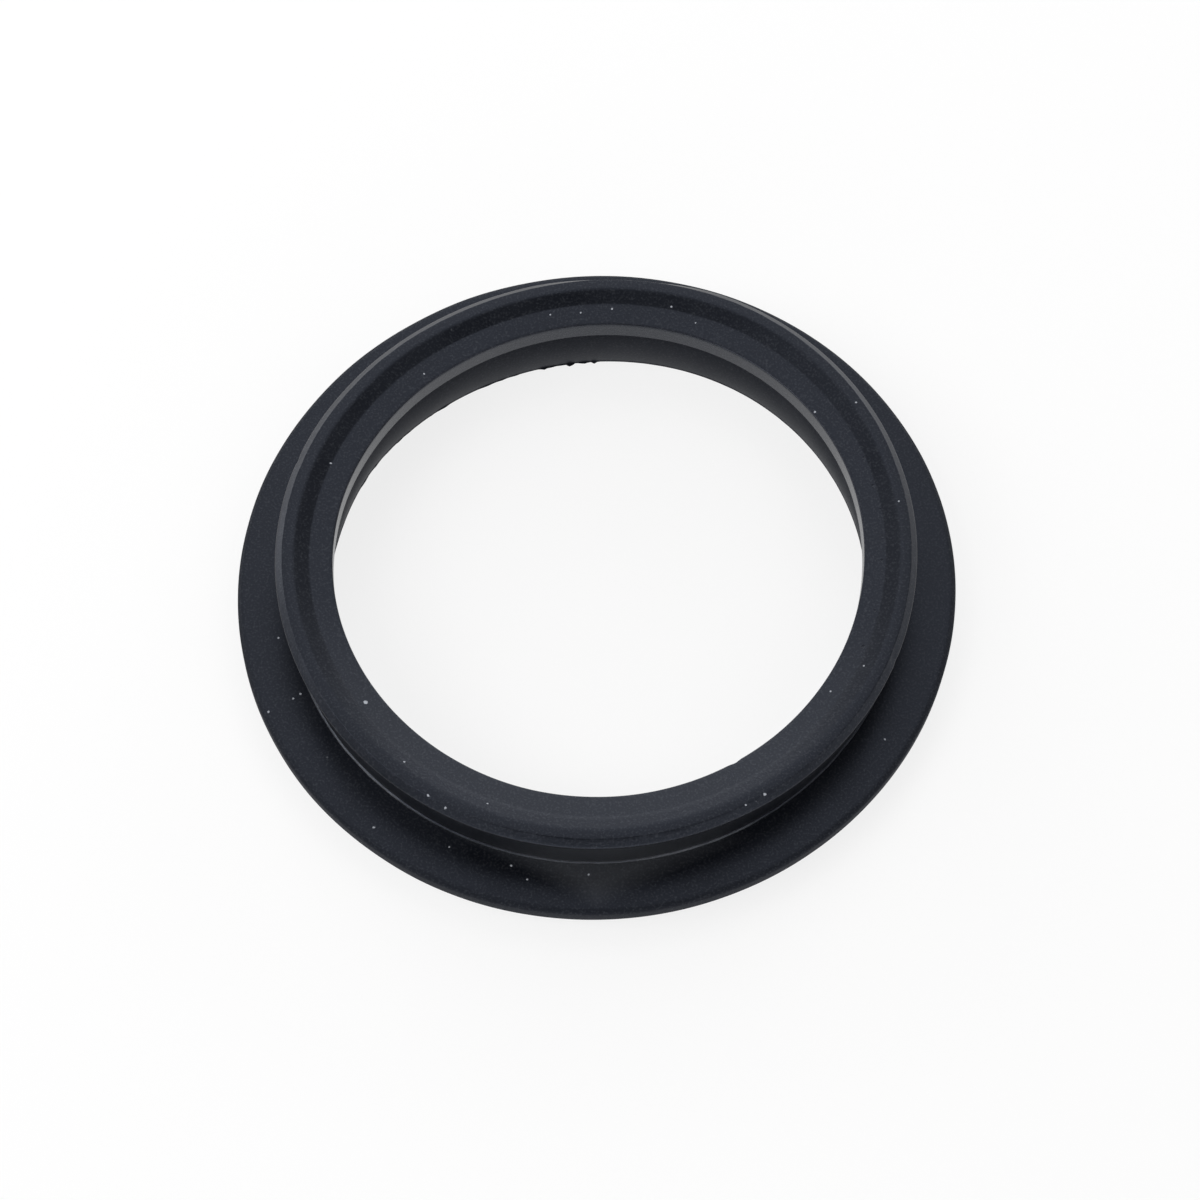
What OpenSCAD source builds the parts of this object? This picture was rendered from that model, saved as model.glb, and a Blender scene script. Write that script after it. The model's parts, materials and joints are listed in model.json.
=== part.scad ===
// Moulded rubber sealing ring, in one piece and symmetrical about the Z axis.
// A beaded collar stands on a flat flange, and a plain skirt reaches down below it.
// The origin is on the axis, in the plane that the skirt rests on. Millimetres, +Z up.

/* [Overall] */
// Diameter of the bore at the sealing lip
bore_d = 65.5; // [30:0.5:150]
// Height of the whole ring
ring_h = 13.3; // [9.5:0.1:30]

/* [Sealing lip] */
// Height of the lip, from the land at its top to the step below it
lip_h = 3.2; // [1:0.1:6]
// Radius of the edge between the land and the bore
lip_edge_r = 0.25; // [0.1:0.05:0.8]
// How far the bore steps out under the lip
lip_step = 0.5; // [0.1:0.1:1.8]
// How far the mouth at the bottom lies outside the lip's bore
mouth_flare = 1.7; // [0.6:0.1:4]

/* [Collar] */
// Width of the collar's top, from the bore to the collar's widest line
collar_w = 6.85; // [5:0.05:16]
// How far the bead's crest stands above the flat land inside it
bead_rise = 0.8; // [0.3:0.05:1.5]
// Radius of the bead's side towards the bore, an arc that is level at the crest
bead_arc_r = 6.6; // [3:0.1:12]
// Radius of the bead's outer edge
bead_edge_r = 1.1; // [0.4:0.05:1.8]
// How far the collar's foot lies inside its widest line
foot_inset = 1; // [0.1:0.05:1.5]
// Radius of the fillet at the collar's foot
foot_fillet_r = 0.4; // [0.1:0.05:1]

/* [Flange] */
// How far the flange stands out from the collar's foot
flange_w = 6.4; // [2.5:0.05:15]
// Thickness of the flange
flange_t = 2.5; // [1:0.1:4]
// Radius of the flange's two outer edges
flange_edge_r = 0.8; // [0.2:0.05:1.2]

/* [Skirt] */
// Height of the skirt below the flange
skirt_h = 3.1; // [1.6:0.1:6]
// Radius of the skirt's outer bottom edge
skirt_edge_r = 0.8; // [0.2:0.05:1.5]

/* [Hidden] */
rubber = [0.16, 0.17, 0.19];

// Radii of the section, from the axis outwards
bore_r = bore_d / 2;
step_r = bore_r + lip_step;
mouth_r = bore_r + mouth_flare;
collar_r = bore_r + collar_w;
crest_r = collar_r - bead_edge_r;
foot_r = collar_r - foot_inset;
flange_r = foot_r + flange_w;

// Heights of the section, from the base up
flange_top = skirt_h + flange_t;
land_z = ring_h - bead_rise;
lip_z = land_z - lip_h;
edge_z = ring_h - bead_edge_r;

// The flange's two edge radii always leave a straight band between them
rim_r = min(flange_edge_r, 0.45 * flange_t);

// A quarter of a disc about the point p, on the side that the signs sr and sz give
module quarter_disc(p, r, sr, sz)
    intersection() {
        translate(p)
            circle(r);
        translate(p + [min(sr, 0), min(sz, 0)] * r)
            square(r);
    }

// Outline with a square notch at each rounded corner, which a part of a disc then fills
module core_section()
    polygon([
        [mouth_r, 0],
        [foot_r - skirt_edge_r, 0],
        [foot_r - skirt_edge_r, skirt_edge_r],
        [foot_r, skirt_edge_r],
        [foot_r, skirt_h],
        [flange_r - rim_r, skirt_h],
        [flange_r - rim_r, skirt_h + rim_r],
        [flange_r, skirt_h + rim_r],
        [flange_r, flange_top - rim_r],
        [flange_r - rim_r, flange_top - rim_r],
        [flange_r - rim_r, flange_top],
        [foot_r, flange_top],
        [foot_r, flange_top + foot_fillet_r],
        [collar_r, edge_z],
        [crest_r, edge_z],
        [crest_r, land_z],
        [bore_r + lip_edge_r, land_z],
        [bore_r + lip_edge_r, land_z - lip_edge_r],
        [bore_r, land_z - lip_edge_r],
        [bore_r, lip_z],
        [step_r, lip_z]
    ]);

// Inner side of the bead, from the crest down to the groove at the land
module bead_section()
    intersection() {
        translate([crest_r, ring_h - bead_arc_r])
            circle(bead_arc_r);
        translate([crest_r - bead_arc_r, land_z])
            square([bead_arc_r, 2 * bead_rise]);
    }

// Fillet in the corner between the flange's top and the collar's wall
module foot_fillet_section()
    translate([foot_r, flange_top])
        difference() {
            square(foot_fillet_r);
            translate([foot_fillet_r, foot_fillet_r])
                circle(foot_fillet_r);
        }

// Half section of the ring, with the radius across and the height up
module ring_section() {
    core_section();
    bead_section();
    foot_fillet_section();
    quarter_disc([crest_r, edge_z], bead_edge_r, 1, 1);
    quarter_disc([bore_r + lip_edge_r, land_z - lip_edge_r], lip_edge_r, -1, 1);
    quarter_disc([flange_r - rim_r, flange_top - rim_r], rim_r, 1, 1);
    quarter_disc([flange_r - rim_r, skirt_h + rim_r], rim_r, 1, -1);
    quarter_disc([foot_r - skirt_edge_r, skirt_edge_r], skirt_edge_r, 1, -1);
}

module sealing_ring()
    color(rubber)
        rotate_extrude()
            ring_section();

sealing_ring();
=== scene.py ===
import json
import math

import bmesh
import bpy
from mathutils import Matrix, Vector, noise


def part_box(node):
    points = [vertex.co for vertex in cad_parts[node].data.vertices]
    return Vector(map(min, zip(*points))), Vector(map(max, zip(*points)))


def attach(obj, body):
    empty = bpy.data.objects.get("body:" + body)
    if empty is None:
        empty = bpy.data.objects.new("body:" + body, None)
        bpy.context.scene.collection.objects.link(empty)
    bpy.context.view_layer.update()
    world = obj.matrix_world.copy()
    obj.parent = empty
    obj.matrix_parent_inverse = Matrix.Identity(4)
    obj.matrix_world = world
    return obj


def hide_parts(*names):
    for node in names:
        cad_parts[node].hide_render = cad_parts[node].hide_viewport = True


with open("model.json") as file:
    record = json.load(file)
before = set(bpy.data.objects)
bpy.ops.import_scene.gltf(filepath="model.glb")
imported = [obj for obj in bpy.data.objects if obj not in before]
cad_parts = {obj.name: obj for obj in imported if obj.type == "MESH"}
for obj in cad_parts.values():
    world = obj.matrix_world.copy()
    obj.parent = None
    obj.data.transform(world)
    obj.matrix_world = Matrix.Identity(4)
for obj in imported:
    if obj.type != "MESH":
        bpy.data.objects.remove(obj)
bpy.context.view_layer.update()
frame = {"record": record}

MM = 0.001
NODE = "sealing_ring"

# Sizes that come from the frame: the whole ring's box and the lip's bore
ring_low, ring_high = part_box(NODE)
mounts = {mount["name"]: mount for mount in frame["record"]["mounts"]}
FLANGE_R = (ring_high.x - ring_low.x) / 2
RING_H = ring_high.z
LIP_R = mounts["lip_bore"]["dims"]["r_mm"] * MM

# Sealing lip and bore
LIP_Z = 9.75 * MM
LIP_EDGE_R = 0.15 * MM
LIP_STEP = 0.5 * MM
MOUTH_FLARE = 1.7 * MM

# Collar: the land slopes down to the bore, and a hollow leads from it up to the bead,
# whose outer edge is bevelled
COLLAR_W = 6.85 * MM
LAND_TILT = math.radians(7)
HOLLOW_R = 0.9 * MM
BEAD_W = 4.0 * MM
BEAD_SLOPE_W = 1.5 * MM
BEAD_TILT = math.radians(20)
BEAD_ARC_R = 2.0 * MM
BEVEL_W = 1.0 * MM
BEVEL_TILT = math.radians(42)
BEVEL_TOP_R = 0.15 * MM
BEVEL_SIDE_R = 0.3 * MM
FOOT_INSET = 1.0 * MM

# Flange and skirt
FLANGE_T = 2.5 * MM
FLANGE_EDGE_R = 0.6 * MM
SKIRT_H = 3.1 * MM
SKIRT_EDGE_R = 0.8 * MM

# Flash: the thin fin that the mould leaves round the mouth. Its edge is ragged in long waves and weaker
# short ones, most of all between two azimuths and by a calmer share elsewhere. Its longest teeth each
# have an azimuth, a length and a half width in degrees.
FIN_W = 0.06 * MM
FIN_T = 0.12 * MM
FIN_RAGGED = 0.2 * MM
FIN_WAVE_LENGTH = 2.3 * MM
FIN_SHORT_WAVE_LENGTH = 0.9 * MM
FIN_SHORT_WAVE = 0.4
FIN_WORST = (86, 156)
FIN_CALM = 0.15
FIN_TEETH = [(92.8, 0.30 * MM, 0.8), (95.1, 0.22 * MM, 1.4), (98.2, 0.48 * MM, 1.1), (104, 0.26 * MM, 1.2)]

# Flash: the thin line in the corner at the collar's foot, and how far it wanders over what length
FOOT_LINE_R = 0.22 * MM
FOOT_LINE_UNEVEN = 0.05 * MM
FOOT_LINE_WAVE_LENGTH = 1.6 * MM

# Radii and heights of the half section
step_r = LIP_R + LIP_STEP
mouth_r = LIP_R + MOUTH_FLARE
collar_r = LIP_R + COLLAR_W
bevel_low_r = collar_r - BEVEL_SIDE_R * (1 - math.sin(BEVEL_TILT))
bevel_top_r = bevel_low_r - BEVEL_W * math.cos(BEVEL_TILT)
crest_r = bevel_top_r - BEVEL_TOP_R * math.sin(BEVEL_TILT)
foot_r = collar_r - FOOT_INSET
flange_top = SKIRT_H + FLANGE_T

# The ring is a little out of round. At each of three radii, each wave is its number of lobes,
# how far they stand out as a share of the radius, and the azimuth of one of them.
SHARED_WAVES = [(2, 0.0153, 45), (3, 0.0059, 53), (4, 0.0017, 67)]
LIP_WAVES = SHARED_WAVES + [(0, 0.0025, 0), (1, 0.0050, 0)]
COLLAR_WAVES = SHARED_WAVES + [(1, 0.0020, 105)]
RIM_WAVES = [(0, -0.0017, 0), (1, 0.0087, 280), (2, 0.0121, 45), (2, 0.0015, 0)]

# The bevel is steeper at the back: the azimuth, by what share, and how many degrees to each side
STEEP_BEVEL_AZIMUTH = 87
STEEP_BEVEL = 0.6
STEEP_BEVEL_REACH = 20

# The lip is drawn in towards the bore along the back, from this azimuth to the one across from it, by
# an amount that waves on the way. What lies higher than this over the step goes with it, less and less
# towards the bead.
LIP_DRAW_START = 20
LIP_DRAWN_IN = 0.24 * MM
LIP_DRAW_WAVE = 0.4
LIP_DRAW_WAVES = 3
LAND_OVER_STEP = 0.5 * MM

# The mouth is pressed in at the left: the azimuth, how deep, and how many degrees to each side
MOUTH_DENT_AZIMUTH = 172
MOUTH_DENT = 0.48 * MM
MOUTH_DENT_REACH = 26

# Nicks in the edges: azimuth, radius, height, how far round it reaches, and how deep it goes in
NICKS = [
    (164.3, 39.3 * MM, 12.6 * MM, 0.9 * MM, 0.16 * MM),
    (339.9, 39.3 * MM, 12.7 * MM, 0.8 * MM, 0.18 * MM),
    (302.1, 32.8 * MM, 12.2 * MM, 0.8 * MM, -0.15 * MM),
]

# The moulded surface is uneven by this much outwards, in swells of about this length, and by this share
# of it upwards
SWELL = 0.05 * MM
SWELL_LENGTH = 9 * MM
SWELL_UPWARDS = 0.5

# Dust specks and pits on the ring's top: azimuth, radius and how wide each is
DUST = [
    (219.0, 34.70 * MM, 0.52 * MM),
    (233.6, 36.73 * MM, 0.30 * MM),
    (241.0, 38.69 * MM, 0.34 * MM),
    (244.7, 38.98 * MM, 0.30 * MM),
    (303.1, 38.71 * MM, 0.42 * MM),
    (299.1, 38.79 * MM, 0.30 * MM),
    (206.9, 39.84 * MM, 0.32 * MM),
    (207.2, 40.86 * MM, 0.26 * MM),
    (207.7, 44.15 * MM, 0.30 * MM),
    (195.3, 40.30 * MM, 0.26 * MM),
    (246.4, 40.53 * MM, 0.26 * MM),
    (257.4, 40.32 * MM, 0.28 * MM),
    (260.6, 41.52 * MM, 0.24 * MM),
    (270.7, 40.16 * MM, 0.26 * MM),
    (234.1, 43.13 * MM, 0.28 * MM),
    (329.9, 42.10 * MM, 0.30 * MM),
    (328.1, 34.14 * MM, 0.28 * MM),
    (336.1, 36.13 * MM, 0.26 * MM),
    (251.1, 36.31 * MM, 0.24 * MM),
    (89.4, 34.82 * MM, 0.30 * MM),
    (77.3, 35.89 * MM, 0.28 * MM),
    (102.6, 34.84 * MM, 0.24 * MM),
    (133.9, 34.08 * MM, 0.26 * MM),
    (163.0, 35.58 * MM, 0.28 * MM),
    (12.4, 37.76 * MM, 0.28 * MM),
    (34.8, 37.90 * MM, 0.28 * MM),
    (38.3, 33.15 * MM, 0.34 * MM),
    (71.5, 34.62 * MM, 0.18 * MM),
    (96.1, 34.50 * MM, 0.18 * MM),
]
PITS = [
    (348.7, 35.0 * MM, 0.34 * MM),
    (340.2, 35.0 * MM, 0.40 * MM),
    (0.3, 35.0 * MM, 0.34 * MM),
    (5.6, 35.15 * MM, 0.30 * MM),
    (11.8, 35.30 * MM, 0.26 * MM),
    (17.4, 35.15 * MM, 0.34 * MM),
    (24.0, 35.25 * MM, 0.28 * MM),
]

# Rubber: its colour, the pale colour of the dust on it, which the paler front land, the painted reflection
# and the painted light also take, and the tint of its sheen
RUBBER_COLOUR = (0.0005, 0.0008, 0.0018, 1)
DUST_AND_PAINTED_LIGHT_COLOUR = (0.42, 0.44, 0.48, 1)
SHEEN_COLOUR = (0.70, 0.78, 1.0, 1)
RUBBER_IOR = 1.4

# How rough it is. Outside, it goes from one value to the other while the clouds' noise does the same.
# The bore is rougher at its top than at the mouth.
ROUGHNESS = (0.34, 0.40)
ROUGHNESS_CLOUDS = (0.3, 0.7)
LIP_ROUGHNESS = 0.28
BORE_ROUGHNESS = 1.0
MOUTH_ROUGHNESS = 0.6
RIM_ROUGHNESS = 0.8

# Where the matt rim starts and is full, in from the flange's edge, and how softly the matt bore ends
RIM_FADE = (0.6 * MM, 0.3 * MM)
BORE_FADE = 0.05 * MM

# Grain and clouds: patterns per metre of rubber, how finely they are broken up, and the values of their
# noise at which they start to show and are full
GRAIN_SCALE = 3600
GRAIN_DETAIL = 2
GRAIN_SHOWS = (0.5, 0.72)
CLOUD_SCALE = 120
CLOUD_DETAIL = 4
CLOUD_SHOWS = (0.35, 0.65)

# Speckles: cells per metre, the random values at which a cell starts to hold one and holds it in full,
# and how far from the cell's middle it starts and is full, where a cell is about 1 wide
SPECKLE_SCALE = 420
SPECKLE_CELLS = (0.72, 0.9)
SPECKLE_EDGE = (0.075, 0.045)

# Noise as fine as the grain shifts the outlines of specks and speckles within this width
OUTLINE_SHIFT = 0.25 * MM

# A dust speck's or pit's soft edge, as shares of half its width
SPOT_EDGE = (1.1, 0.7)

# How pale each of these makes the rubber, on a scale from bare rubber to the pale colour of dust, which
# painted reflection and painted light share
GRAIN_PALE = 0.036
CLOUD_PALE = 0.003
SPECKLE_PALE = 0.14
# Painted reflection: the lip's wall is made paler, standing in for the white table that it mirrors
LIP_PAINTED_REFLECTION = 0.034
FRONT_LAND_PALE = 0.030
FOOT_LINE_PALE = 0.20
SPECK_PALE = 0.85

# The lip's wall, where it starts and is full in depth from the bore
LIP_WALL_DEPTH = (0.14 * MM, 0.08 * MM)

# The land made paler along the front: where it starts and is full in Y, radius and height
FRONT_LAND_Y = (-8 * MM, -26 * MM)
FRONT_LAND_RADIUS = (36.2 * MM, 35.4 * MM)
FRONT_LAND_HEIGHT = (11.9 * MM, 12.1 * MM)

# Painted light in the corner at the collar's foot, along the front: a pale patch that stands in for light
# that the lamps don't bring there. How pale it makes the flange and the wall, how far sideways its middle
# lies, how far out it reaches there and over what width that fades, and how fast it falls off sideways
PAINTED_LIGHT_FLANGE_PALE = 0.070
PAINTED_LIGHT_WALL_PALE = 0.034
PAINTED_LIGHT_MIDDLE = 1.5 * MM
PAINTED_LIGHT_REACH = 44.5 * MM
PAINTED_LIGHT_REACH_FADE = 3 * MM
PAINTED_LIGHT_NARROWS = 0.5

# The same painted light: where it starts and is full in Y and below the ring's top, how far under the
# flange's top it is full, and over what height the wall's share takes over from the flange's
PAINTED_LIGHT_Y = (-34 * MM, -36.5 * MM)
PAINTED_LIGHT_BELOW_TOP = (1.0 * MM, 1.5 * MM)
PAINTED_LIGHT_UNDER_FLANGE_TOP = 0.2 * MM
PAINTED_LIGHT_WALL_FADE = 0.3 * MM

# Deposits on the foot line: azimuth, how far each reaches and its strength, the share of its reach over
# which it is full, the strength elsewhere, and the line's own soft edge
FOOT_DEPOSITS = [(222, 14 * MM, 1.0), (291, 9 * MM, 0.7)]
FOOT_DEPOSIT_FULL = 0.4
FOOT_LINE_FAINT = 0.10
FOOT_LINE_EDGE = (0.2 * MM, 0.1 * MM)

# Patches in those deposits: how many per metre, how broken up, where they show, and what is left between
PATCH_SCALE = 400
PATCH_DETAIL = 3
PATCH_SHOWS = (0.35, 0.6)
PATCH_FAINT = 0.4

# Depth of the grain and of the pits
GRAIN_DEPTH = 0.020 * MM
PIT_DEPTH = 0.12 * MM

# The name under which the mesh keeps each point's place from when the ring was still round
ROUND_PLACE = "round_place"

# Steps round the ring, and how sharp a bend has to be to show as a crease
TURN_STEPS = 512
CREASE_ANGLE = math.radians(24)
QUARTER = math.pi / 2

# Points nearer than the first are one. The second is the slack when points are found by their place,
# and the third is the width over which a change of finish at an edge is softened.
WELD = 0.001 * MM
SLACK = 0.01 * MM
SOFT_EDGE = 0.02 * MM

# Camera, in front of the ring: the point that it aims at, the point that its elevation and distance are
# measured from, its roll, its lens in millimetres, and how near it starts to see
CAMERA_AIM = Vector((0.43, -2.1, 2.64)) * MM
CAMERA_CENTRE = Vector((0, 0, 3.69)) * MM
CAMERA_ELEVATION = math.radians(63.33)
CAMERA_ROLL = math.radians(2.62)
CAMERA_DISTANCE = 375 * MM
CAMERA_LENS = 89.2
CAMERA_NEAR = 10 * MM

# Square softboxes, all of one size and as far off: name, azimuth and elevation in degrees, watts
SOFTBOX_SIDE = 0.4
SOFTBOX_DISTANCE = 0.7
SOFTBOXES = [
    ("back_high", 90, 66, 0.55),
    ("back_middle", 90, 32, 0.91),
    ("back_left_high", 120, 60, 0.34),
    ("back_left_low", 120, 10, 1.93),
    ("back_right_high", 60, 60, 0.19),
    ("back_right_low", 60, 10, 2.19),
    ("left_low", 150, 8, 1.65),
    ("left_middle", 180, 30, 1.16),
    ("right_low", 30, 8, 0.60),
    ("right_side", 0, 8, 0.51),
    ("front_left_high", 210, 50, 1.77),
    ("front_left_low", 240, 10, 0.75),
    ("front_right_high", 330, 50, 0.71),
    ("front_right_side", 330, 8, 0.43),
    ("front_right_low", 300, 10, 0.80),
    ("front_low", 270, 5, 1.37),
]
WORLD_LEVEL = 0.02
WHITE = (1, 1, 1, 1)

# Table: its width, brightness and roughness, how far under the ring it lies, and how much of the way to
# white it is lifted for the camera and for reflections
TABLE_SIZE = 6.0
TABLE_WHITE = 0.9
TABLE_ROUGHNESS = 0.9
TABLE_DROP = 0.02 * MM
TABLE_LIFT = 0.8


def on_circle(radius, azimuth_deg, height):
    """The point at that radius, azimuth and height. Azimuth 0 is +X and 90 is the back, +Y."""
    angle = math.radians(azimuth_deg)
    return Vector((radius * math.cos(angle), radius * math.sin(angle), height))


def start_outline(radius, height):
    """Adds a small plane at the outline's first corner and merges it to one point."""
    bpy.ops.object.select_all(action="DESELECT")
    bpy.ops.mesh.primitive_plane_add(size=MM, location=(radius, 0, height))
    ring = bpy.context.object
    bpy.ops.object.transform_apply(location=True)
    bpy.ops.object.mode_set(mode="EDIT")
    bpy.ops.mesh.select_mode(type="VERT")
    bpy.ops.mesh.select_all(action="SELECT")
    bpy.ops.mesh.merge(type="CENTER")
    return ring


def last_point(ring):
    """Where the outline's end is, which is its one selected point."""
    shape = bmesh.from_edit_mesh(ring.data)
    return next(point.co.copy() for point in shape.verts if point.select)


def line_to(ring, radius, height, pieces):
    """Extrudes the outline straight on to a new corner, in equal pieces."""
    step = (Vector((radius, 0, height)) - last_point(ring)) / pieces
    for _ in range(pieces):
        bpy.ops.mesh.extrude_vertices_move(TRANSFORM_OT_translate={"value": step})


def arc_about(radius, height, angle, pieces):
    """Spins the outline's end about a centre. A positive angle turns from +Z towards +X."""
    centre = (radius, 0, height)
    bpy.ops.mesh.spin(steps=pieces, angle=-angle, center=centre, axis=(0, 1, 0))


def draw_bore(ring):
    """The flared bore, from the fin on the mouth's edge up, and the step under the lip."""
    flare = mouth_r - step_r
    rise = LIP_Z - FIN_T
    bell_r = (flare**2 + rise**2) / (2 * flare)
    arc_about(step_r + bell_r, LIP_Z, math.asin(rise / bell_r), pieces=18)
    line_to(ring, LIP_R, LIP_Z, pieces=2)


def draw_collar_top(ring):
    """The lip's wall and edge, the sloping land, the hollow beside it, the bead and the bevel on it."""
    bevel_top_z = RING_H - BEVEL_TOP_R * (1 - math.cos(BEVEL_TILT))
    bevel_low_z = bevel_top_z - BEVEL_W * math.sin(BEVEL_TILT)
    bead_low_r = collar_r - BEAD_W
    slope_high_r = bead_low_r + BEAD_SLOPE_W
    slope_high_z = RING_H - BEAD_ARC_R * (1 - math.cos(BEAD_TILT))
    bead_low_z = slope_high_z - BEAD_SLOPE_W * math.tan(BEAD_TILT)
    bead_centre_r = slope_high_r + BEAD_ARC_R * math.sin(BEAD_TILT)
    hollow_low_r = bead_low_r - HOLLOW_R * (math.sin(BEAD_TILT) - math.sin(LAND_TILT))
    hollow_low_z = bead_low_z - HOLLOW_R * (math.cos(LAND_TILT) - math.cos(BEAD_TILT))
    hollow_centre_r = hollow_low_r - HOLLOW_R * math.sin(LAND_TILT)
    hollow_centre_z = hollow_low_z + HOLLOW_R * math.cos(LAND_TILT)
    land_w = hollow_low_r - LIP_R - LIP_EDGE_R * (1 - math.sin(LAND_TILT))
    lip_edge_z = hollow_low_z - land_w * math.tan(LAND_TILT) - LIP_EDGE_R * math.cos(LAND_TILT)

    line_to(ring, LIP_R, lip_edge_z, pieces=6)
    arc_about(LIP_R + LIP_EDGE_R, lip_edge_z, QUARTER - LAND_TILT, pieces=4)
    line_to(ring, hollow_low_r, hollow_low_z, pieces=8)
    arc_about(hollow_centre_r, hollow_centre_z, LAND_TILT - BEAD_TILT, pieces=5)
    line_to(ring, slope_high_r, slope_high_z, pieces=5)
    arc_about(bead_centre_r, RING_H - BEAD_ARC_R, BEAD_TILT, pieces=7)
    line_to(ring, crest_r, RING_H, pieces=2)
    arc_about(crest_r, RING_H - BEVEL_TOP_R, BEVEL_TILT, pieces=4)
    line_to(ring, bevel_low_r, bevel_low_z, pieces=4)
    bevel_side_z = bevel_low_z - BEVEL_SIDE_R * math.cos(BEVEL_TILT)
    arc_about(collar_r - BEVEL_SIDE_R, bevel_side_z, QUARTER - BEVEL_TILT, pieces=5)


def draw_flange(ring):
    """The collar's wall down to the foot line, and the flange's top, rounded edge and underside."""
    edge_centre_r = FLANGE_R - FLANGE_EDGE_R
    line_to(ring, foot_r, flange_top + FOOT_LINE_R, pieces=10)
    arc_about(foot_r, flange_top, QUARTER, pieces=5)
    line_to(ring, edge_centre_r, flange_top, pieces=16)
    arc_about(edge_centre_r, flange_top - FLANGE_EDGE_R, QUARTER, pieces=8)
    line_to(ring, FLANGE_R, SKIRT_H + FLANGE_EDGE_R, pieces=2)
    arc_about(edge_centre_r, SKIRT_H + FLANGE_EDGE_R, QUARTER, pieces=6)
    line_to(ring, foot_r, SKIRT_H, pieces=8)


def draw_skirt(ring):
    """The skirt's wall, its rounded edge and the flat that it rests on."""
    line_to(ring, foot_r, SKIRT_EDGE_R, pieces=4)
    arc_about(foot_r - SKIRT_EDGE_R, SKIRT_EDGE_R, QUARTER, pieces=6)
    line_to(ring, mouth_r, 0, pieces=4)


def draw_fin(ring):
    """The fin on the mouth's edge, which closes the outline."""
    line_to(ring, mouth_r - FIN_W, FIN_T / 2, pieces=1)
    line_to(ring, mouth_r, FIN_T, pieces=1)


def draw_half_section():
    """Draws the ring's half section in the XZ plane, from the mouth up, over and back under."""
    ring = start_outline(mouth_r, FIN_T)
    for draw_part in (draw_bore, draw_collar_top, draw_flange, draw_skirt, draw_fin):
        draw_part(ring)
    return ring


def turn_section(ring):
    """Turns the half section once round the axis, closes it and makes its faces point outwards."""
    bpy.ops.mesh.select_all(action="SELECT")
    bpy.ops.mesh.remove_doubles(threshold=WELD)
    bpy.ops.object.mode_set(mode="OBJECT")
    bpy.ops.object.modifier_add(type="SCREW")
    turn = ring.modifiers[-1]
    turn.steps = TURN_STEPS
    turn.render_steps = TURN_STEPS
    turn.use_merge_vertices = True
    turn.merge_threshold = WELD
    bpy.ops.object.modifier_apply(modifier=turn.name)
    bpy.ops.object.mode_set(mode="EDIT")
    bpy.ops.mesh.select_all(action="SELECT")
    bpy.ops.mesh.normals_make_consistent(inside=False)


def azimuth_of(place):
    """Azimuth of a place in degrees, from 0 to 360."""
    return math.degrees(math.atan2(place.y, place.x)) % 360


def radius_of(place):
    """Distance of a place from the ring's axis."""
    return math.hypot(place.x, place.y)


def pushed_out(place, amount):
    """The place moved away from the axis by an amount."""
    grow = 1 + amount / radius_of(place)
    return Vector((place.x * grow, place.y * grow, place.z))


def uneven(place, length):
    """Smooth noise from -1 to 1, whose bumps are about that far apart."""
    return noise.noise(place / length)


def ragged_fin(place):
    """Pulls the fin's edge in towards the bore by uneven amounts, most of all where it is worst."""
    on_edge = radius_of(place) < mouth_r - FIN_W / 2 and place.z < FIN_T
    if not on_edge:
        return place
    azimuth = azimuth_of(place)
    waves = uneven(place, FIN_WAVE_LENGTH) + FIN_SHORT_WAVE * uneven(place, FIN_SHORT_WAVE_LENGTH)
    reach = FIN_RAGGED * max(waves, 0)
    if not FIN_WORST[0] < azimuth < FIN_WORST[1]:
        reach *= FIN_CALM
    for tooth, length, half_width in FIN_TEETH:
        reach = max(reach, length * (1 - abs(azimuth - tooth) / half_width))
    return pushed_out(place, -reach)


def uneven_foot_line(place):
    """Makes the thin line at the collar's foot wander a little in and out."""
    beyond_foot = radius_of(place) - foot_r
    on_line = SLACK < beyond_foot < FOOT_LINE_R + SLACK and place.z > flange_top
    if not on_line:
        return place
    return pushed_out(place, FOOT_LINE_UNEVEN * uneven(place, FOOT_LINE_WAVE_LENGTH))


def swelled(place):
    """Swells the moulded surface by the smallest bit. What rests on the table stays flat."""
    share = min(max(place.z, 0) / SKIRT_H, 1)
    rise = share * SWELL * uneven(place, SWELL_LENGTH)
    moved = pushed_out(place, rise)
    moved.z += SWELL_UPWARDS * rise
    return moved


def nicked(place):
    """Dents the ring's edges at the nicks. A nick that goes in on the bore's side goes outwards."""
    for azimuth, radius, height, reach, depth in NICKS:
        away = (place - on_circle(radius, azimuth, height)).length
        if away < reach:
            place = pushed_out(place, -depth * (1 - away / reach))
    return place


def drawn_in_lip(place):
    """Draws the lip in along the back. The step under it and the bead keep their places."""
    reach = 1 - (radius_of(place) - LIP_R) / (collar_r - BEAD_W - LIP_R)
    at_wall = place.z > LIP_Z - SLACK and radius_of(place) < LIP_R + SLACK
    at_land = place.z > LIP_Z + LAND_OVER_STEP and reach > 0
    back = math.radians(azimuth_of(place) - LIP_DRAW_START)
    if math.sin(back) <= 0 or not (at_wall or at_land):
        return place
    amount = LIP_DRAWN_IN * math.sin(back) * (1 + LIP_DRAW_WAVE * math.sin(LIP_DRAW_WAVES * back))
    return pushed_out(place, -amount * min(reach, 1))


def steepened_bevel(place):
    """Draws the bevel and the wall under it in towards the bevel's top, along a stretch at the back."""
    away = abs(azimuth_of(place) - STEEP_BEVEL_AZIMUTH) / STEEP_BEVEL_REACH
    beyond = radius_of(place) - bevel_top_r
    if away > 1 or beyond <= 0 or place.z < flange_top:
        return place
    climb = (place.z - flange_top) / (RING_H - flange_top)
    share = STEEP_BEVEL * min(climb, 1) * math.cos(away * QUARTER) ** 2
    return pushed_out(place, -share * beyond)


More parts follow.
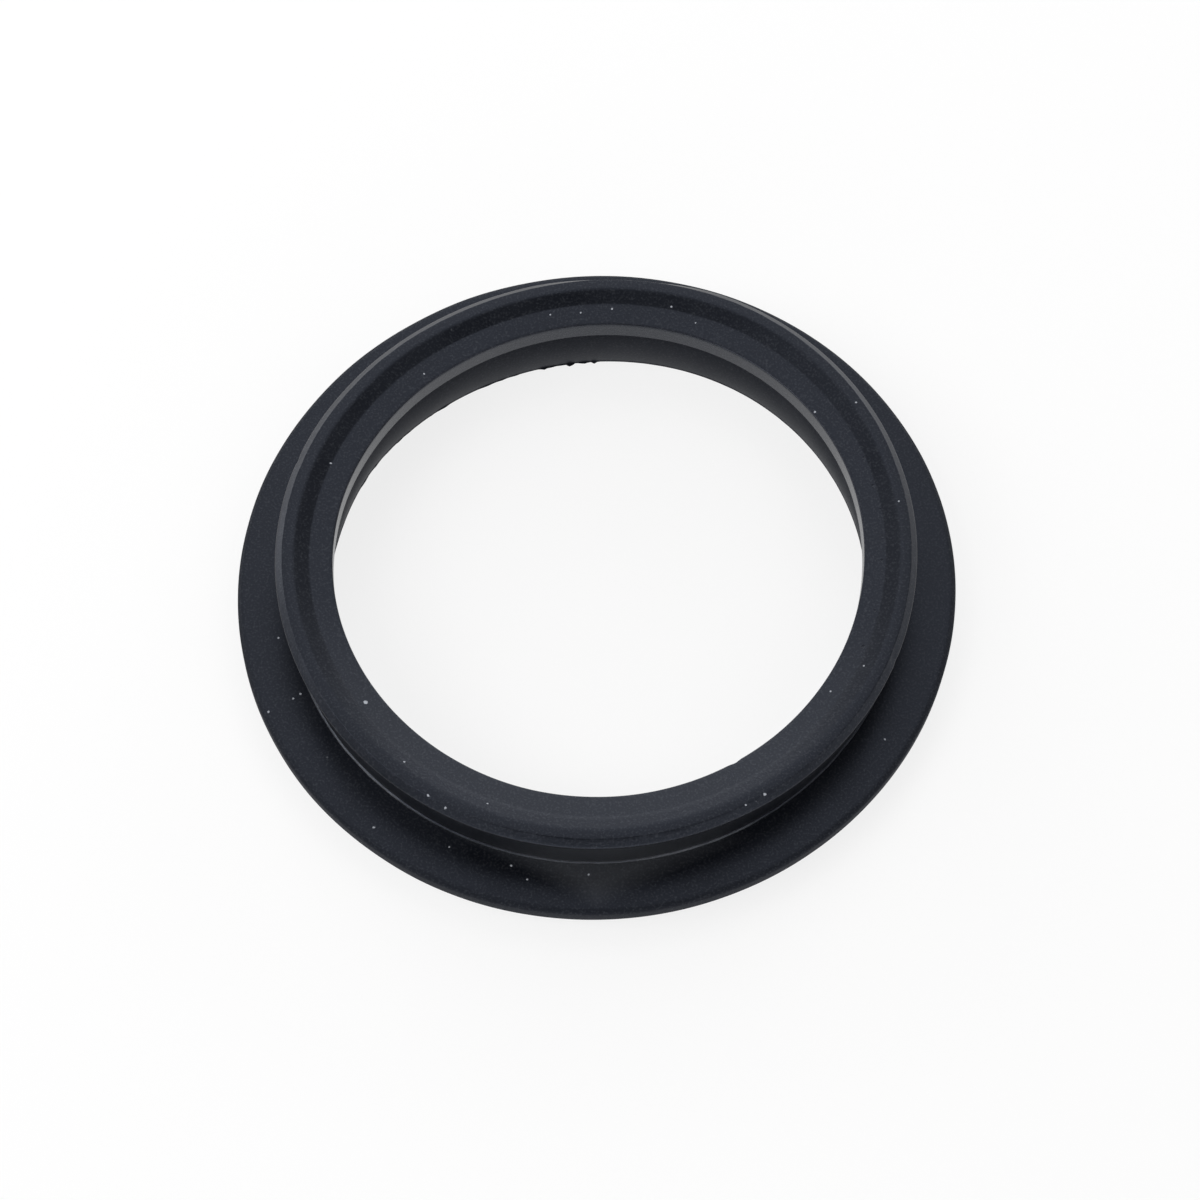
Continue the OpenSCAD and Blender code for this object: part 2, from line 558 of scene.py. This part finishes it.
def pressed_mouth(place):
    """Presses the bore in towards the mouth along a short stretch. The lip keeps its place."""
    away = abs(azimuth_of(place) - MOUTH_DENT_AZIMUTH) / MOUTH_DENT_REACH
    in_bore = radius_of(place) < mouth_r + SLACK and place.z < LIP_Z
    if away > 1 or not in_bore:
        return place
    depth = MOUTH_DENT * math.cos(away * QUARTER) ** 2 * (1 - place.z / LIP_Z)
    return pushed_out(place, -depth)


def wave_height(waves, azimuth):
    """How far the waves carry a point outwards, as a share of its radius."""
    return sum(size * math.cos(math.radians(lobes * (azimuth - peak))) for lobes, size, peak in waves)


def out_of_round(place):
    """Where a place of the round ring lies on the real one. The lip, the collar and the rim differ."""
    azimuth = azimuth_of(place)
    radius = radius_of(place)
    if radius < collar_r:
        share = max((radius - LIP_R) / (collar_r - LIP_R), 0)
        inner, outer = LIP_WAVES, COLLAR_WAVES
    else:
        share = min((radius - collar_r) / (FLANGE_R - collar_r), 1)
        inner, outer = COLLAR_WAVES, RIM_WAVES
    grow = (1 - share) * wave_height(inner, azimuth) + share * wave_height(outer, azimuth)
    return pushed_out(place, grow * radius)


def model_round_ring():
    """The whole ring as one closed mesh, still perfectly round."""
    ring = draw_half_section()
    turn_section(ring)
    bpy.ops.object.mode_set(mode="OBJECT")
    ring.name = "rubber_ring"
    ring.data.name = "rubber_ring"
    bpy.ops.object.shade_smooth_by_angle(angle=CREASE_ANGLE)
    return ring


def keep_round_places(ring):
    """Keeps each point's place in the mesh, so that marks can be laid by azimuth, radius and height."""
    kept = ring.data.attributes.new(ROUND_PLACE, "FLOAT_VECTOR", "POINT")
    for point in ring.data.vertices:
        kept.data[point.index].vector = point.co


def spots_on_top(ring, spots):
    """Where spots given by azimuth, radius and width lie on the round ring's top, with their widths."""
    found = []
    for azimuth, radius, width in spots:
        above = on_circle(radius, azimuth, 2 * RING_H)
        _, place, _, _ = ring.ray_cast(above, Vector((0, 0, -1)))
        found.append((place, width))
    return found


def make_uneven(ring):
    """Gives the round ring its flash, dents, nicks and swells, and takes it out of round."""
    flash = (ragged_fin, uneven_foot_line)
    dents = (steepened_bevel, pressed_mouth, drawn_in_lip, nicked)
    for moved in (*flash, *dents, swelled, out_of_round):
        for point in ring.data.vertices:
            point.co = moved(point.co)


def maths(tree, operation, first, second):
    """A Math node's result. The second value is a number or another node's output."""
    node = tree.nodes.new("ShaderNodeMath")
    node.operation = operation
    tree.links.new(first, node.inputs[0])
    if isinstance(second, (int, float)):
        node.inputs[1].default_value = second
    else:
        tree.links.new(second, node.inputs[1])
    return node.outputs[0]


def product(tree, first, *others):
    """The product of several values."""
    for other in others:
        first = maths(tree, "MULTIPLY", first, other)
    return first


def total(tree, first, *others):
    """The sum of several values."""
    for other in others:
        first = maths(tree, "ADD", first, other)
    return first


def ramp(tree, value, start, end, low=0, high=1):
    """Turns a value that goes from start to end into one that goes from low to high."""
    node = tree.nodes.new("ShaderNodeMapRange")
    node.inputs["From Min"].default_value = start
    node.inputs["From Max"].default_value = end
    node.inputs["To Min"].default_value = low
    node.inputs["To Max"].default_value = high
    tree.links.new(value, node.inputs["Value"])
    return node.outputs["Result"]


def cloudy(tree, place, scale, detail):
    """Soft noise from about 0.3 to 0.7."""
    node = tree.nodes.new("ShaderNodeTexNoise")
    node.inputs["Scale"].default_value = scale
    node.inputs["Detail"].default_value = detail
    tree.links.new(place, node.inputs["Vector"])
    return node.outputs["Fac"]


def distance_to(tree, place, point):
    """How far the place is from a point."""
    node = tree.nodes.new("ShaderNodeVectorMath")
    node.operation = "DISTANCE"
    node.inputs[1].default_value = point
    tree.links.new(place, node.inputs[0])
    return node.outputs["Value"]


def warped(tree, place, scale, amount):
    """The place shifted by noise, so that what is laid on it gets an uneven outline."""
    wander = tree.nodes.new("ShaderNodeTexNoise")
    wander.inputs["Scale"].default_value = scale
    tree.links.new(place, wander.inputs["Vector"])
    shift = tree.nodes.new("ShaderNodeVectorMath")
    shift.operation = "MULTIPLY_ADD"
    shift.inputs[1].default_value = (amount, amount, amount)
    tree.links.new(wander.outputs["Color"], shift.inputs[0])
    tree.links.new(place, shift.inputs[2])
    back = tree.nodes.new("ShaderNodeVectorMath")
    back.operation = "SUBTRACT"
    back.inputs[1].default_value = (amount / 2, amount / 2, amount / 2)
    tree.links.new(shift.outputs["Vector"], back.inputs[0])
    return back.outputs["Vector"]


def spotted(tree, place, spots):
    """1 on the spots and 0 elsewhere."""
    nearest = None
    for point, width in spots:
        away = maths(tree, "DIVIDE", distance_to(tree, place, point), width / 2)
        nearest = maths(tree, "MINIMUM", away, nearest) if nearest else away
    return ramp(tree, nearest, *SPOT_EDGE)


def speckled(tree, place):
    """Sparse tiny specks all over: a few of a Voronoi pattern's cells have one at their middle."""
    cells = tree.nodes.new("ShaderNodeTexVoronoi")
    cells.inputs["Scale"].default_value = SPECKLE_SCALE
    tree.links.new(place, cells.inputs["Vector"])
    chosen = ramp(tree, cells.outputs["Color"], *SPECKLE_CELLS)
    return product(tree, ramp(tree, cells.outputs["Distance"], *SPECKLE_EDGE), chosen)


def paler_front_land(tree, parts, radius):
    """The land along the front, which is made paler: 1 on it and 0 elsewhere."""
    in_front = ramp(tree, parts.outputs["Y"], *FRONT_LAND_Y)
    on_land = ramp(tree, radius, *FRONT_LAND_RADIUS)
    on_top = ramp(tree, parts.outputs["Z"], *FRONT_LAND_HEIGHT)
    return product(tree, in_front, on_land, on_top)


def on_lip(tree, radius, height):
    """The lip's wall, made a little paler than the rest by a painted reflection: 1 on it and 0 elsewhere.
    """
    inside = ramp(tree, radius, *(LIP_R + depth for depth in LIP_WALL_DEPTH))
    return product(tree, inside, ramp(tree, height, LIP_Z - SOFT_EDGE, LIP_Z + SOFT_EDGE))


def on_foot_line(tree, place, radius, height):
    """The pale deposit on the flash at the collar's foot, patchy round the ring."""
    section = tree.nodes.new("ShaderNodeCombineXYZ")
    tree.links.new(radius, section.inputs["X"])
    tree.links.new(height, section.inputs["Y"])
    middle = (foot_r + FOOT_LINE_R / 2, flange_top + FOOT_LINE_R / 2, 0)
    on_line = ramp(tree, distance_to(tree, section.outputs[0], middle), *FOOT_LINE_EDGE)
    deposit = None
    for azimuth, reach, strength in FOOT_DEPOSITS:
        away = distance_to(tree, place, on_circle(foot_r, azimuth, flange_top))
        here = ramp(tree, away, reach, FOOT_DEPOSIT_FULL * reach, FOOT_LINE_FAINT, strength)
        deposit = maths(tree, "MAXIMUM", here, deposit) if deposit else here
    patches = ramp(tree, cloudy(tree, place, PATCH_SCALE, PATCH_DETAIL), *PATCH_SHOWS, PATCH_FAINT, 1)
    return product(tree, on_line, deposit, patches)


def painted_light_at_foot(tree, parts, radius):
    """How pale the painted light makes the flange and the wall above it, in the corner along the front."""
    height = parts.outputs["Z"]
    off_middle = maths(tree, "SUBTRACT", parts.outputs["X"], PAINTED_LIGHT_MIDDLE)
    sideways = product(tree, maths(tree, "ABSOLUTE", off_middle, 0), PAINTED_LIGHT_NARROWS)
    spread = maths(tree, "SUBTRACT", sideways, parts.outputs["Y"])
    in_front = ramp(tree, parts.outputs["Y"], *PAINTED_LIGHT_Y)
    near = product(tree, in_front, ramp(tree, spread, PAINTED_LIGHT_REACH, PAINTED_LIGHT_REACH - PAINTED_LIGHT_REACH_FADE))
    outside = ramp(tree, radius, foot_r - SOFT_EDGE, foot_r)
    below_top = ramp(tree, height, *(RING_H - depth for depth in PAINTED_LIGHT_BELOW_TOP))
    above_flange = ramp(tree, height, flange_top - FLANGE_EDGE_R, flange_top - PAINTED_LIGHT_UNDER_FLANGE_TOP)
    wall_z = flange_top + FOOT_LINE_R
    amount = ramp(tree, height, wall_z, wall_z + PAINTED_LIGHT_WALL_FADE, PAINTED_LIGHT_FLANGE_PALE, PAINTED_LIGHT_WALL_PALE)
    between = product(tree, above_flange, below_top)
    return product(tree, outside, between, near, amount)


def finish(tree, clouds, radius, height):
    """How rough the rubber is: satin outside, smooth on the lip, matt in the bore and on the rim."""
    satin = ramp(tree, clouds, *ROUGHNESS_CLOUDS, *ROUGHNESS)
    on_rim = ramp(tree, radius, *(FLANGE_R - depth for depth in RIM_FADE))
    dull = product(tree, on_rim, RIM_ROUGHNESS - ROUGHNESS[1])
    smooth = product(tree, on_lip(tree, radius, height), LIP_ROUGHNESS - ROUGHNESS[1])
    in_bore = ramp(tree, radius, mouth_r + BORE_FADE, mouth_r)
    below_lip = ramp(tree, height, LIP_Z, LIP_Z - SOFT_EDGE)
    matt = ramp(tree, height, 0, LIP_Z, MOUTH_ROUGHNESS - ROUGHNESS[1], BORE_ROUGHNESS - ROUGHNESS[1])
    matt = product(tree, in_bore, below_lip, matt)
    return total(tree, satin, smooth, total(tree, matt, dull))


def place_and_radius(tree):
    """Each point's place from when the ring was round, whole and in its parts, and its radius."""
    kept = tree.nodes.new("ShaderNodeAttribute")
    kept.attribute_name = ROUND_PLACE
    place = kept.outputs["Vector"]
    parts = tree.nodes.new("ShaderNodeSeparateXYZ")
    tree.links.new(place, parts.inputs[0])
    squares = (maths(tree, "POWER", parts.outputs[axis], 2) for axis in ("X", "Y"))
    radius = maths(tree, "POWER", total(tree, *squares), 0.5)
    return place, parts, radius


def rubber_colour(tree, pale):
    """The rubber's colour, which goes from bare rubber to the pale colour of dust, painted reflection and
    painted light.
    """
    colour = tree.nodes.new("ShaderNodeValToRGB")
    colour.color_ramp.elements[0].color = RUBBER_COLOUR
    # the pale end serves real dust and painted reflection and light alike
    colour.color_ramp.elements[1].color = DUST_AND_PAINTED_LIGHT_COLOUR
    tree.links.new(pale, colour.inputs["Fac"])
    return colour.outputs["Color"]


def grain_and_pits(tree, grain, place, pits):
    """The bump that the grain and the pits make."""
    rise = product(tree, grain, GRAIN_DEPTH)
    sunk = product(tree, spotted(tree, place, pits), PIT_DEPTH)
    bump = tree.nodes.new("ShaderNodeBump")
    bump.inputs["Distance"].default_value = 1
    tree.links.new(maths(tree, "SUBTRACT", rise, sunk), bump.inputs["Height"])
    return bump.outputs["Normal"]


def rubber_material(dust, pits):
    """Satin black rubber with a bluish sheen, a fine grain, a paler land along the front, dust specks and
    pits, and painted reflection and light on the lip's wall and at the collar's foot.
    """
    material = bpy.data.materials.new("black_rubber")
    material.use_nodes = True
    tree = material.node_tree
    place = tree.nodes.new("ShaderNodeTexCoord").outputs["Object"]
    round_place, parts, radius = place_and_radius(tree)
    height = parts.outputs["Z"]
    rough_place = warped(tree, round_place, GRAIN_SCALE, OUTLINE_SHIFT)

    grain = cloudy(tree, place, GRAIN_SCALE, GRAIN_DETAIL)
    clouds = cloudy(tree, place, CLOUD_SCALE, CLOUD_DETAIL)
    pale = total(
        tree,
        ramp(tree, grain, *GRAIN_SHOWS, 0, GRAIN_PALE),
        ramp(tree, clouds, *CLOUD_SHOWS, 0, CLOUD_PALE),
        product(tree, speckled(tree, rough_place), SPECKLE_PALE),
        # painted reflection of the white table on the lip's wall
        product(tree, on_lip(tree, radius, height), LIP_PAINTED_REFLECTION),
        # the land is made paler along the front
        product(tree, paler_front_land(tree, parts, radius), FRONT_LAND_PALE),
        product(tree, on_foot_line(tree, round_place, radius, height), FOOT_LINE_PALE),
        # painted light: a pale patch on the flange and the wall in the corner along the front
        painted_light_at_foot(tree, parts, radius),
        product(tree, spotted(tree, rough_place, dust), SPECK_PALE),
    )

    shader = tree.nodes["Principled BSDF"]
    shader.inputs["IOR"].default_value = RUBBER_IOR
    shader.inputs["Specular Tint"].default_value = SHEEN_COLOUR
    tree.links.new(rubber_colour(tree, pale), shader.inputs["Base Color"])
    tree.links.new(finish(tree, clouds, radius, height), shader.inputs["Roughness"])
    tree.links.new(grain_and_pits(tree, grain, round_place, pits), shader.inputs["Normal"])
    return material


def table_material():
    """White paper. The camera and reflections see it lifted towards white, with the shadow kept."""
    material = bpy.data.materials.new("white_table")
    material.use_nodes = True
    tree = material.node_tree
    shader = tree.nodes["Principled BSDF"]
    shader.inputs["Base Color"].default_value = (TABLE_WHITE, TABLE_WHITE, TABLE_WHITE, 1)
    shader.inputs["Roughness"].default_value = TABLE_ROUGHNESS
    shader.inputs["Specular IOR Level"].default_value = 0
    path = tree.nodes.new("ShaderNodeLightPath")
    seen = path.outputs["Is Camera Ray"]
    for kind in ("Is Glossy Ray", "Is Transmission Ray"):
        seen = maths(tree, "MAXIMUM", seen, path.outputs[kind])
    lift = product(tree, seen, TABLE_LIFT)
    white = tree.nodes.new("ShaderNodeEmission")
    mix = tree.nodes.new("ShaderNodeMixShader")
    tree.links.new(lift, mix.inputs[0])
    tree.links.new(shader.outputs[0], mix.inputs[1])
    tree.links.new(white.outputs[0], mix.inputs[2])
    tree.links.new(mix.outputs[0], tree.nodes["Material Output"].inputs["Surface"])
    return material


def add_table():
    """A wide white table just under the ring."""
    bpy.ops.object.select_all(action="DESELECT")
    bpy.ops.mesh.primitive_plane_add(size=TABLE_SIZE, location=(0, 0, -TABLE_DROP))
    table = bpy.context.object
    table.name = "table"
    table.data.materials.append(table_material())


def add_softbox(name, azimuth, elevation, power):
    """A square area light that faces the ring."""
    climb = math.radians(elevation)
    place = on_circle(SOFTBOX_DISTANCE * math.cos(climb), azimuth, SOFTBOX_DISTANCE * math.sin(climb))
    bpy.ops.object.light_add(type="AREA", location=place)
    light = bpy.context.object
    light.name = name + "_softbox"
    light.data.shape = "SQUARE"
    light.data.size = SOFTBOX_SIDE
    light.data.energy = power
    light.rotation_mode = "QUATERNION"
    light.rotation_quaternion = place.to_track_quat("Z", "Y")


def add_world():
    """An even dim fill from all round, white where the camera looks past the table."""
    world = bpy.data.worlds.new("studio")
    bpy.context.scene.world = world
    world.use_nodes = True
    tree = world.node_tree
    fill = tree.nodes["Background"]
    fill.inputs["Color"].default_value = WHITE
    fill.inputs["Strength"].default_value = WORLD_LEVEL
    seen = tree.nodes.new("ShaderNodeBackground")
    seen.inputs["Color"].default_value = WHITE
    path = tree.nodes.new("ShaderNodeLightPath")
    mix = tree.nodes.new("ShaderNodeMixShader")
    tree.links.new(path.outputs["Is Camera Ray"], mix.inputs[0])
    tree.links.new(fill.outputs[0], mix.inputs[1])
    tree.links.new(seen.outputs[0], mix.inputs[2])
    tree.links.new(mix.outputs[0], tree.nodes["World Output"].inputs["Surface"])


def add_camera():
    """The camera in front of the ring and above it, rolled a little."""
    level = math.cos(CAMERA_ELEVATION)
    towards = Vector((0, -level, math.sin(CAMERA_ELEVATION)))
    place = CAMERA_CENTRE + towards * CAMERA_DISTANCE
    bpy.ops.object.camera_add(location=place)
    camera = bpy.context.object
    camera.name = "camera"
    camera.data.lens = CAMERA_LENS
    camera.data.clip_start = CAMERA_NEAR
    camera.rotation_mode = "QUATERNION"
    aim = (CAMERA_AIM - place).to_track_quat("-Z", "Y")
    camera.rotation_quaternion = aim @ Matrix.Rotation(CAMERA_ROLL, 3, "Z").to_quaternion()
    bpy.context.scene.camera = camera


bpy.context.scene.view_settings.view_transform = "Standard"
add_camera()
for softbox in SOFTBOXES:
    add_softbox(*softbox)
add_world()
add_table()

ring = model_round_ring()
dust = spots_on_top(ring, DUST)
pits = spots_on_top(ring, PITS)
keep_round_places(ring)
make_uneven(ring)
ring.data.materials.append(rubber_material(dust, pits))
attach(ring, "root")
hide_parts(NODE)
